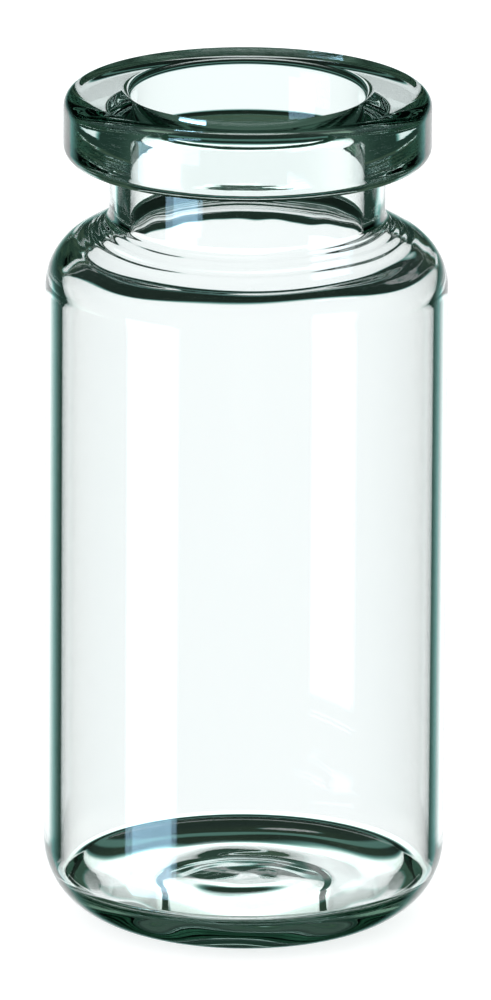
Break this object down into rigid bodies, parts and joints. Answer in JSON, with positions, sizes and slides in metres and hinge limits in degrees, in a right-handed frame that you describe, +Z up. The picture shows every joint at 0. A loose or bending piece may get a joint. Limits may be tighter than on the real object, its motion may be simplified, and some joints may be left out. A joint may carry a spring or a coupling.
{
  "type": "glass sample vial",
  "caption": "Clear glass sample vial with a crimp neck and flange, sloped shoulder, straight thin-walled body and pushed-up base.",
  "frame": {"origin": "centre of the base, on the surface that the vial stands on", "axes": "+Z up along the vial's axis and out of its mouth; the vial is the same all round, so +X and +Y are free"},
  "size_m": [0.0219, 0.0218, 0.0465],
  "materials": {
    "glass": "clear fire-polished glass, smooth and glossy"
  },
  "bodies": {
    "root": {"vial": "glass"}
  },
  "joints": []
}
